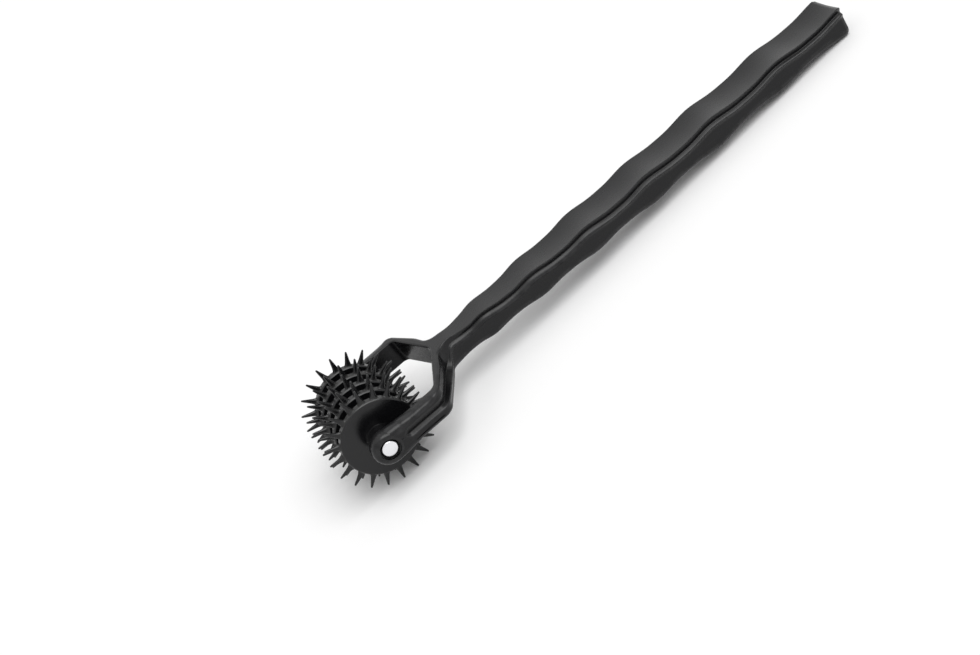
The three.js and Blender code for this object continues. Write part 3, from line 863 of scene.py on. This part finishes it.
# Rings of a spike: shares of the flared foot's height, of the shank above it, and turns on the tip
SPIKE_FOOT_SHARES = np.array([0.0, 0.012, 0.05, 0.14, 0.3, 0.58, 1.0])
SPIKE_SHANK_SHARES = np.array([0.3, 0.6, 0.85, 1.0])
SPIKE_TIP_TURNS = np.radians([25, 50, 72])

# How much of the rim's flat a foot covers across it
FOOT_SHARE = 0.97

# Roundings of a wheel's corners
RIM_FILLET = 0.12 * MM
BOSS_FILLET = 0.05 * MM
BORE_MOUTH = 0.15 * MM
BORE_FILLET = 0.1 * MM

# Shares of a spike's height above which it is rubbed and below which it holds dust
WORN_ABOVE = 0.75
DUSTY_BELOW = 0.3


def spike_profile(size):
    """Half width along the rim, half width along the axle and height of a spike's rings.

    The shank narrows in a straight line to the tip. The foot adds (1 - root of the height over the
    flare's height) squared times the flare's width, which meets the rim flat. The tip is round."""
    height, tip = size.tip_radius - size.rim_radius, size.tip_end_radius
    shank_height = height - tip
    foot = SPIKE_FOOT_SHARES * size.flare_height
    shank = mix(size.flare_height, shank_height, SPIKE_SHANK_SHARES)
    level = np.concatenate([foot, shank])
    along = mix(size.shank_radius, tip, level / shank_height)
    across = along * mix(size.flatness, 1, level / shank_height)
    spread = np.maximum(1 - np.sqrt(level / size.flare_height), 0) ** 2
    along_extra = size.foot_radius - size.shank_radius
    flat_half = size.rim_half_width - size.rim_edge
    across_extra = FOOT_SHARE * flat_half - size.shank_radius * size.flatness
    along = along + along_extra * spread
    across = across + across_extra * spread
    tip_radius = tip * np.cos(SPIKE_TIP_TURNS)
    tip_level = shank_height + tip * np.sin(SPIKE_TIP_TURNS)
    along = np.concatenate([along, tip_radius, [0]])
    across = np.concatenate([across, tip_radius, [0]])
    level = np.concatenate([level, tip_level, [height]])
    return along, across, level


def cell_border(size):
    """The border of a spike's cell on the rim, counted round from one corner: places along the rim
    as angles from the cell's middle, and across it as lengths."""
    half_angle = math.pi / size.spikes
    flat_half = size.rim_half_width - size.rim_edge
    along = np.linspace(-half_angle, half_angle, RIM_STEPS, endpoint=False)
    across = np.linspace(-flat_half, flat_half, ACROSS_STEPS, endpoint=False)
    along_end, across_end = np.full(ACROSS_STEPS, half_angle), np.full(RIM_STEPS, flat_half)
    angle = np.concatenate([along, along_end, -along, -along_end])
    place = np.concatenate([-across_end, across, across_end, -across])
    return angle, place


def spike_cells(size, first_angle):
    """All spikes of a wheel, each with its patch of the rim, as points (spikes, rings, round, 3),
    and each point's height over the rim.

    Each ring is an ellipse round the spike's middle. The first is the patch's border, on the rim's
    cylinder. A point lies at the cylinder's height over its own place along the rim plus the ring's
    height."""
    angle, place = cell_border(size)
    along, across, level = spike_profile(size)
    radius = size.rim_radius
    bearing = np.arctan2(place / np.abs(place).max(), np.sin(angle) / np.sin(np.abs(angle).max()))
    t = np.concatenate([[radius * np.sin(angle)], along[:, None] * np.cos(bearing)])
    y = np.concatenate([[place], across[:, None] * np.sin(bearing)])
    rise = np.concatenate([[0], level])[:, None]
    r = np.sqrt(radius**2 - t**2) + rise
    middle = first_angle + (np.arange(size.spikes) + 0.5) * 2 * math.pi / size.spikes
    sine, cosine = np.sin(middle)[:, None, None], np.cos(middle)[:, None, None]
    x = sine * r + cosine * t
    z = cosine * r - sine * t
    points = np.stack([x, np.broadcast_to(y, x.shape), z], axis=-1)
    return points, np.broadcast_to(rise, x.shape)


def wheel_section(size, low_end, high_end):
    """A wheel's outline from the rim's low edge round the bore to its high edge, as rows of radius
    and y, and a mask of the rows on the hexagonal bore. An end wheel has a smooth outer face with
    a boss, and a wall that closes its bore round the pin."""
    flat, rim = size.rim_half_width - size.rim_edge, size.rim_half_width
    hub_end = (size.pitch - size.hub_gap) / 2
    boss_end = size.boss_end - size.pitch * (len(WHEELS) - 1) / 2
    wall_face = rim - size.wall

    def side(is_end):
        """Corners of one side as rows of radius, y and rounding."""
        boss, end = (size.neck_radius, boss_end) if is_end else (size.hub_radius, hub_end)
        corners = [
            (size.rim_radius, flat, 0),
            (size.rim_radius - size.rim_edge, rim, RIM_FILLET),
            (boss, rim, BOSS_FILLET),
            (boss, end, BOSS_FILLET),
        ]
        if is_end:
            corners.append((size.bore_radius, end, BORE_MOUTH))
            corners.append((size.bore_radius, wall_face, BORE_FILLET))
        corners.append((size.core_radius, wall_face if is_end else end, 0))
        return np.array(corners)

    low, high = side(low_end), side(high_end)
    low[:, 1] *= -1
    outline = np.vstack([low, high[::-1]])
    line = outline[:, :2]
    profile = rounded(line[None], outline[None, 1:-1, 2], WHEEL_EDGE_STEPS)[0]
    profile = np.vstack([line[:1], profile, line[-1:]])
    return profile, np.isclose(profile[:, 0], size.core_radius)


def wheel_mesh(size, number):
    """One spiked wheel: the turned body, whose bore is a hexagon, and the patches with spikes."""
    is_first, is_last = number == 1, number == len(WHEELS)
    turn_angle = size.odd_turn if number % 2 else size.even_turn
    segments = size.spikes * RIM_STEPS
    step = 2 * math.pi / segments
    profile, on_bore = wheel_section(size, is_first, is_last)
    body = revolved(profile, segments, turn_angle)

    # The bore's hexagon keeps its own angle, so its points sit on whole steps
    whole = np.round(turn_angle / step) * step
    angle = whole + np.arange(segments) * step
    sixth = 2 * math.pi / BORE_SIDES
    from_flat = (angle % sixth) - sixth / 2
    hexagon = size.core_radius * math.cos(sixth / 2) / np.cos(from_flat)
    body[:, on_bore, 0] = (hexagon * np.sin(angle))[:, None]
    body[:, on_bore, 2] = (hexagon * np.cos(angle))[:, None]

    cells, heights = spike_cells(size, turn_angle)
    rings, around = cells.shape[1:3]
    cell_quads = grid_quads(rings, around, closed_columns=True).reshape(-1, 4)
    starts = np.arange(size.spikes) * rings * around
    spike_quads = (cell_quads[None] + starts[:, None, None]).reshape(-1, 4)
    body_quads = grid_quads(segments, len(profile), closed_rows=True).reshape(-1, 4)
    cell_points = cells.reshape(-1, 3)
    points = np.concatenate([cell_points, body.reshape(-1, 3)])
    quads = np.concatenate([spike_quads, body_quads + len(cell_points)])
    height = heights.reshape(-1) / (size.tip_radius - size.rim_radius)
    on_body = np.zeros(len(points) - len(height))
    wear = np.concatenate([smooth(height, WORN_ABOVE, 1), on_body])
    recess = np.concatenate([1 - smooth(height, 0, DUSTY_BELOW), on_body])
    points[:, 1] += (number - (len(WHEELS) + 1) / 2) * size.pitch
    return make_mesh(f"spiked_wheel_{number}", points, quads, {"wear": wear, "recess": recess})


# Materials


class Value:
    """A socket of a material's nodes that adds, takes away and multiplies like a number."""

    def __init__(self, shader, socket):
        self.shader = shader
        self.socket = socket

    def __add__(self, other):
        return self.shader.maths("ADD", self, other)

    def __sub__(self, other):
        return self.shader.maths("SUBTRACT", self, other)

    def __rsub__(self, other):
        return self.shader.maths("SUBTRACT", other, self)

    def __mul__(self, other):
        return self.shader.maths("MULTIPLY", self, other)

    __radd__ = __add__
    __rmul__ = __mul__


class Shader:
    """The nodes of a material or of the world."""

    def __init__(self, owner):
        owner.use_nodes = True
        self.owner = owner
        self.tree = owner.node_tree
        self.tree.nodes.clear()

    def node(self, kind, settings=None, sockets=None, output=0):
        """Adds a node of a type, sets it up, fills or links its sockets and returns one output."""
        made = self.tree.nodes.new(kind)
        for setting, value in (settings or {}).items():
            setattr(made, setting, value)
        for socket, value in (sockets or {}).items():
            if isinstance(value, Value):
                self.tree.links.new(value.socket, made.inputs[socket])
            else:
                made.inputs[socket].default_value = value
        return Value(self, made.outputs[output]) if len(made.outputs) else None

    def maths(self, operation, *values):
        """A Math node on numbers and values."""
        return self.node("ShaderNodeMath", {"operation": operation}, dict(enumerate(values)))

    def step(self, value, start, end):
        """0 below start and 1 above end, with a soft rise between them."""
        settings = {"interpolation_type": "SMOOTHSTEP"}
        return self.node("ShaderNodeMapRange", settings, {0: value, 1: start, 2: end})

    def colour(self, amount, first, second):
        """The first colour at amount 0 and the second at 1."""
        settings = {"data_type": "RGBA"}
        return self.node("ShaderNodeMix", settings, {0: amount, 6: first, 7: second}, 2)

    def vector(self, operation, *vectors, output=0):
        """A Vector Math node."""
        settings = {"operation": operation}
        return self.node("ShaderNodeVectorMath", settings, dict(enumerate(vectors)), output)

    def noise(self, vector, scale, detail=2.0, roughness=0.5):
        """Soft noise from 0 to 1, about 0.5 on average."""
        sockets = {"Vector": vector, "Scale": scale, "Detail": detail, "Roughness": roughness}
        return self.node("ShaderNodeTexNoise", None, sockets)

    def attribute(self, name):
        """A mask that is stored on the mesh's points."""
        return self.node("ShaderNodeAttribute", {"attribute_name": name}, output="Fac")

    def bump(self, height, strength, distance, **below):
        """A relief of a height, on top of the normal below if there is one."""
        sockets = {"Height": height, "Strength": strength, "Distance": distance, **below}
        return self.node("ShaderNodeBump", None, sockets)

    def surface(self, sockets):
        """Ends the material in a Principled shader with these sockets, and returns the material."""
        shader = self.node("ShaderNodeBsdfPrincipled", None, sockets)
        self.node("ShaderNodeOutputMaterial", None, {"Surface": shader})
        return self.owner


def plain(rgb, level=1.0):
    """A colour for a socket, with its parts multiplied by a level."""
    return (*(part * level for part in rgb), 1.0)


# Pattern sizes, in waves per metre: the tone's and gloss's mottling, the moulded grain, the smears
# on steel, handling lines that are long in x, and turned rings by radius and by place along the pin
MOTTLE, CLOUD, GRAIN, SMEAR = 110.0, 420.0, 5200.0, 900.0
LINES = (60.0, 2600.0, 2600.0)
RING_RADIUS, RING_LENGTH = 9000.0, 3000.0

# Levels of a pattern between which it turns into scratches, rubbed spots and dust
SCRATCH_STEP, WORN_STEP, DUST_STEP = (0.66, 0.74), (0.3, 0.65), (0.35, 0.7)

# Plastic: how much lighter its mottling gets, and how far wear, scratches and dust change its tone
LIGHTER, WEAR_TONE, SCRATCH_TONE, DUST_TONE = 1.35, 0.8, 0.25, 0.35

# What each pattern adds to the plastic's roughness
CLOUD_ROUGH, MOTTLE_ROUGH, SCRATCH_ROUGH, DUST_ROUGH, WEAR_ROUGH = 0.10, 0.08, 0.08, 0.2, -0.06

# The plastic's relief: strengths, scratches as a share of the grain, and heights in metres
MOTTLE_BUMP, GRAIN_BUMP, SCRATCH_SHARE = 0.35, 0.22, 0.6
MOTTLE_DEPTH, GRAIN_DEPTH = 0.00012, 0.00002

# Steel: how dark its smears are, what they and the rings add to roughness, and the rings' relief
DARKER, SMEAR_TONE, RING_ROUGH, SMEAR_ROUGH = 0.86, 0.5, 0.12, 0.1
RING_BUMP, RING_DEPTH = 0.12, 0.00001


def moulded_plastic(name, finish, base, roughness, ior):
    """Black moulded plastic: soft changes of tone, a fine spark-eroded grain, hair-thin handling
    lines along the handle, rubbed edges and a little dust in the recesses."""
    s = Shader(bpy.data.materials.new(name))
    place = s.node("ShaderNodeTexCoord", output="Object")
    mottle = s.noise(place, MOTTLE, detail=3.0)
    cloud = s.noise(place, CLOUD, detail=3.0, roughness=0.6)
    grain = s.noise(place, GRAIN)
    lines = s.noise(s.vector("MULTIPLY", place, LINES), 1.0, detail=3.0, roughness=0.55)
    scratches = s.step(lines, *SCRATCH_STEP)
    wear = s.attribute("wear") * s.step(cloud, *WORN_STEP)
    recess = s.attribute("recess") * s.step(mottle, *DUST_STEP)
    tone = s.colour(mottle, plain(base), plain(base, LIGHTER))
    tone = s.colour(wear * WEAR_TONE + scratches * SCRATCH_TONE, tone, plain(finish.plastic_worn))
    tone = s.colour(recess * DUST_TONE, tone, plain(finish.dust))
    rough = (cloud - 0.5) * CLOUD_ROUGH + (mottle - 0.5) * MOTTLE_ROUGH
    rough = rough + scratches * SCRATCH_ROUGH + recess * DUST_ROUGH + wear * WEAR_ROUGH + roughness
    under = s.bump(mottle, MOTTLE_BUMP, MOTTLE_DEPTH)
    normal = s.bump(grain - scratches * SCRATCH_SHARE, GRAIN_BUMP, GRAIN_DEPTH, Normal=under)
    return s.surface({"Base Color": tone, "Roughness": rough, "IOR": ior, "Normal": normal})


def turned_steel(name, base, roughness):
    """Polished steel with fine rings from turning round the axle, and faint wear."""
    s = Shader(bpy.data.materials.new(name))
    place = s.node("ShaderNodeTexCoord", output="Object")
    centred = s.vector("SUBTRACT", place, tuple(AXLE))
    flat = s.vector("MULTIPLY", centred, (1.0, 0.0, 1.0))
    radius = s.vector("LENGTH", flat, output="Value")
    along = s.node("ShaderNodeSeparateXYZ", None, {0: centred}, "Y")
    ringed = s.node("ShaderNodeCombineXYZ", None, {0: radius * RING_RADIUS, 1: along * RING_LENGTH})
    rings = s.noise(ringed, 1.0)
    smear = s.noise(place, SMEAR, detail=3.0)
    tone = s.colour(smear * SMEAR_TONE, plain(base), plain(base, DARKER))
    rough = (rings - 0.5) * RING_ROUGH + (smear - 0.5) * SMEAR_ROUGH + roughness
    normal = s.bump(rings, RING_BUMP, RING_DEPTH)
    return s.surface({"Base Color": tone, "Metallic": 1.0, "Roughness": rough, "Normal": normal})


def white_seen(shader, dim, seen=1.0):
    """The seen value for camera rays and for mirrored and refracted ones, else the dim one."""
    kinds = ("Camera", "Glossy", "Transmission")
    camera, glossy, through = (
        shader.node("ShaderNodeLightPath", output=f"Is {kind} Ray") for kind in kinds
    )
    any_ray = shader.maths("MAXIMUM", shader.maths("MAXIMUM", camera, glossy), through)
    return any_ray * (seen - dim) + dim


def floor_material(name, pale):
    """A matt pale floor that the camera and mirrors see as white, and that keeps its shadows."""
    s = Shader(bpy.data.materials.new(name))
    level = white_seen(s, sum(pale) / 3)
    tone = s.node("ShaderNodeCombineColor", None, {0: level, 1: level, 2: level})
    return s.surface({"Base Color": tone, "Roughness": 1.0, "Specular IOR Level": 0.0})


# Operators


class PINWHEEL_OT_handle(bpy.types.Operator):
    """Builds the wavy handle with its fork and eyes"""

    bl_idname = "pinwheel.handle"
    bl_label = "Handle and Fork"

    def execute(self, context):
        size, finish = context.scene.pinwheel_handle, context.scene.pinwheel_finish
        gloss = (finish.plastic_roughness, finish.plastic_ior)
        plastic = moulded_plastic("handle_plastic", finish, finish.plastic, *gloss)
        meshes = (handle_mesh(size), eye_mesh(size, -1), eye_mesh(size, 1))
        for name, mesh in zip(("handle", "eye_near", "eye_far"), meshes):
            add_piece(name, mesh, plastic, "handle", ["handle_fork"])
        return {"FINISHED"}


class PINWHEEL_OT_pin(bpy.types.Operator):
    """Builds the steel axle pin"""

    bl_idname = "pinwheel.pin"
    bl_label = "Axle Pin"

    def execute(self, context):
        size, finish = context.scene.pinwheel_handle, context.scene.pinwheel_finish
        steel = turned_steel("pin_steel", finish.steel, finish.steel_roughness)
        add_piece("pin", pin_mesh(size), steel, "handle", ["axle_pin"])
        return {"FINISHED"}


class PINWHEEL_OT_wheels(bpy.types.Operator):
    """Builds the five spiked wheels and finishes the core that joins them"""

    bl_idname = "pinwheel.wheels"
    bl_label = "Spiked Wheels"

    def execute(self, context):
        size, finish = context.scene.pinwheel_roller, context.scene.pinwheel_finish
        gloss = (finish.wheel_roughness, finish.wheel_ior)
        plastic = moulded_plastic("roller_plastic", finish, finish.wheel, *gloss)
        for number, node in enumerate(WHEELS, start=1):
            mesh = wheel_mesh(size, number)
            add_piece(f"wheel_{number}", mesh, plastic, "roller", [node])
        core = frame["nodes"]["roller_core"]
        core.data.materials.clear()
        core.data.materials.append(plastic)
        return {"FINISHED"}


class PINWHEEL_OT_stage(bpy.types.Operator):
    """Sets the floor, the lamps, the room's light and the camera"""

    bl_idname = "pinwheel.stage"
    bl_label = "Stage"

    def execute(self, context):
        settings = context.scene.pinwheel_stage
        add_floor(settings, context.scene.pinwheel_roller, context.scene.pinwheel_handle)
        add_lamp("key_light", KEY_PLACE, KEY_SPREAD, settings.key_strength)
        add_lamp("top_light", TOP_PLACE, TOP_SPREAD, settings.fill_strength)
        light_room(context.scene, settings.ambient)
        add_camera(context.scene, settings)
        context.scene.view_settings.view_transform = "Standard"
        return {"FINISHED"}


# The lamps' places as (azimuth, height) and their spreads, in degrees
KEY_PLACE, KEY_SPREAD = (32, 52), 50
TOP_PLACE, TOP_SPREAD = (0, 86), 80

# How far the floor keeps below what it carries
FLOOR_GAP = 0.02 * MM

# The camera sees nothing nearer or further than this, in metres
NEAR, FAR = 0.01, 100


def add_floor(settings, roller, handle):
    """A flat floor that touches the spikes and the butt's lower edge. With L the way from the axle
    to the butt, d its lower height and R the tips' radius, the slope solves L sin + d cos = R."""
    reach = BUTT_X - handle.butt_bevel_length
    drop = float(lower_height(np.array([reach]), handle)[0])
    slope = math.asin(roller.tip_radius / math.hypot(reach, drop)) - math.atan2(drop, reach)
    along = Vector((math.cos(slope), 0, math.sin(slope)))
    across = Vector((0, 1, 0))
    touch = Vector(AXLE) + Vector((reach, 0, -drop)) - along.cross(across) * FLOOR_GAP
    half = settings.floor_size / 2
    signs = ((-1, -1), (1, -1), (1, 1), (-1, 1))
    corners = [touch + along * a * half + across * b * half for a, b in signs]
    mesh = bpy.data.meshes.new("floor")
    mesh.from_pydata(corners, [], [(0, 1, 2, 3)])
    mesh.materials.append(floor_material("pale_floor", settings.floor_colour))
    floor = add_object("floor", mesh)


def direction(azimuth, elevation):
    """The unit vector at an azimuth, from -Y towards +X, and a height, both in radians."""
    flat = math.cos(elevation)
    return Vector((math.sin(azimuth) * flat, -math.cos(azimuth) * flat, math.sin(elevation)))


def add_lamp(name, place, spread, strength):
    """A soft lamp, so far away that only its direction counts. Angles are in degrees."""
    lamp = bpy.data.lights.new(name, "SUN")
    lamp.energy = strength
    lamp.angle = math.radians(spread)
    towards = direction(*(math.radians(angle) for angle in place))
    stand = add_object(name, lamp)
    stand.rotation_mode = "QUATERNION"
    stand.rotation_quaternion = towards.to_track_quat("Z", "Y")
    stand.location = towards


def light_room(scene, ambient):
    """An even room: dim for the light it gives, white where the camera or a mirror sees it."""
    world = bpy.data.worlds.new("room")
    scene.world = world
    s = Shader(world)
    level = white_seen(s, ambient)
    light = s.node("ShaderNodeBackground", None, {"Color": (1, 1, 1, 1), "Strength": level})
    s.node("ShaderNodeOutputWorld", None, {"Surface": light})


def add_camera(scene, settings):
    """The camera at the photograph's viewing angle: away from the axle along the view, moved
    sideways and up until the axle falls on its pixel."""
    azimuth, roll = settings.camera_azimuth, settings.camera_roll
    back = direction(azimuth, settings.camera_elevation)
    level_right = Vector((math.cos(azimuth), math.sin(azimuth), 0))
    level_up = back.cross(level_right)
    right = level_right * math.cos(roll) - level_up * math.sin(roll)
    up = level_right * math.sin(roll) + level_up * math.cos(roll)
    pixel = settings.camera_distance * SENSOR_WIDTH / (settings.lens * PHOTO_WIDTH)
    aside = (PHOTO_WIDTH / 2 - AXLE_PIXEL_X) * pixel
    above = (AXLE_PIXEL_Y - PHOTO_HEIGHT / 2) * pixel
    data = bpy.data.cameras.new("camera")
    data.sensor_width = SENSOR_WIDTH
    data.lens = settings.lens
    data.clip_start, data.clip_end = NEAR, FAR
    turned = Matrix((right, up, back)).transposed().to_4x4()
    turned.translation = Vector(AXLE) + back * settings.camera_distance + right * aside + up * above
    scene.camera = add_object("camera", data)
    scene.camera.matrix_world = turned


class PINWHEEL_PT_panel(bpy.types.Panel):
    """Lists the steps that dress the pinwheel"""

    bl_idname = "PINWHEEL_PT_panel"
    bl_label = "Pinwheel"
    bl_space_type = "VIEW_3D"
    bl_region_type = "UI"
    bl_category = "Pinwheel"

    def draw(self, context):
        column = self.layout.column(align=True)
        for operator in OPERATORS:
            column.operator(operator.bl_idname)


GROUPS = {
    "pinwheel_handle": HandleSizes,
    "pinwheel_roller": RollerSizes,
    "pinwheel_finish": Finishes,
    "pinwheel_stage": StageSettings,
}
OPERATORS = (PINWHEEL_OT_handle, PINWHEEL_OT_pin, PINWHEEL_OT_wheels, PINWHEEL_OT_stage)


def register():
    for cls in (*GROUPS.values(), *OPERATORS, PINWHEEL_PT_panel):
        bpy.utils.register_class(cls)
    for name, group in GROUPS.items():
        setattr(bpy.types.Scene, name, bpy.props.PointerProperty(type=group))


def unregister():
    for name in GROUPS:
        delattr(bpy.types.Scene, name)
    for cls in reversed((*GROUPS.values(), *OPERATORS, PINWHEEL_PT_panel)):
        bpy.utils.unregister_class(cls)


def main():
    """Builds the pinwheel and its stage."""
    register()
    bpy.ops.pinwheel.handle()
    bpy.ops.pinwheel.pin()
    bpy.ops.pinwheel.wheels()
    bpy.ops.pinwheel.stage()


if __name__ == "__main__":
    main()
